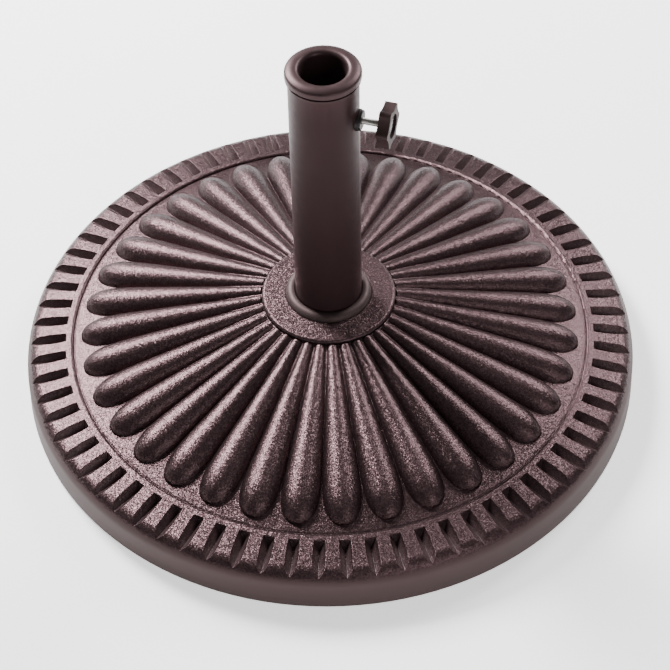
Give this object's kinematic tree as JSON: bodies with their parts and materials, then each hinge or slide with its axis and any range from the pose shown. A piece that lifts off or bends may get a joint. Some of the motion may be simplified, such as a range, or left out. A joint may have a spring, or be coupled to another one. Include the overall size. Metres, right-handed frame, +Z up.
{
  "type": "parasol base",
  "caption": "Round weighted parasol base with a petal-patterned dish, notched rim, upright tube, moulded cap and a side lock screw that clamps the pole.",
  "frame": {"origin": "centre of the ground face, at the undersides of the foot pads", "axes": "+Z up along the tube and the pole's bore, +X out along the lock screw towards its knob"},
  "size_m": [0.56, 0.56, 0.3463],
  "materials": {
    "dish_resin": "speckled satin",
    "tube_plastic": "satin",
    "cap_plastic": "satin",
    "knob_plastic": "satin",
    "disc_plastic": "gloss",
    "zinc_steel": "zinc plated",
    "socket_steel": "black primer",
    "concrete": "cast",
    "plate_plastic": "matt",
    "pad_rubber": "matt",
    "bush_nylon": "matt"
  },
  "bodies": {
    "root": {"base_shell": "dish_resin", "collar_ring": "tube_plastic", "sleeve_tube": "tube_plastic", "cap_ring": "cap_plastic", "boss_washer": "knob_plastic", "concrete_core": "concrete", "underside_plate": "plate_plastic", "underside_screws": "zinc_steel", "foot_pads": "pad_rubber", "hub_socket": "socket_steel", "steel_tube": "socket_steel", "tube_end_plate": "socket_steel", "centering_bush": "bush_nylon", "fixing_bolt": "zinc_steel", "fixing_washer": "zinc_steel", "spring_washer": "zinc_steel", "fixing_nut": "zinc_steel", "pole_seat": "bush_nylon", "lock_boss": "socket_steel"},
    "pad": {"pressure_pad": "bush_nylon"},
    "lock_screw": {"lock_stud": "zinc_steel", "knob_insert": "zinc_steel", "lock_knob": "knob_plastic", "knob_disc": "disc_plastic"}
  },
  "joints": [
    {"name": "pad_slide", "type": "slide", "parent": "root", "child": "pad", "axis": [1, 0, 0], "range_m": [-0.006, 0.008]},
    {"name": "knob_turn", "type": "hinge", "parent": "pad", "child": "lock_screw", "pos_m": [0, 0, 0.2985], "axis": [1, 0, 0], "range_deg": [-2150, 2870]}
  ],
  "couplings": [
    {"joint": "pad_slide", "follows": "knob_turn", "m_per_rad": 0.00015915}
  ]
}
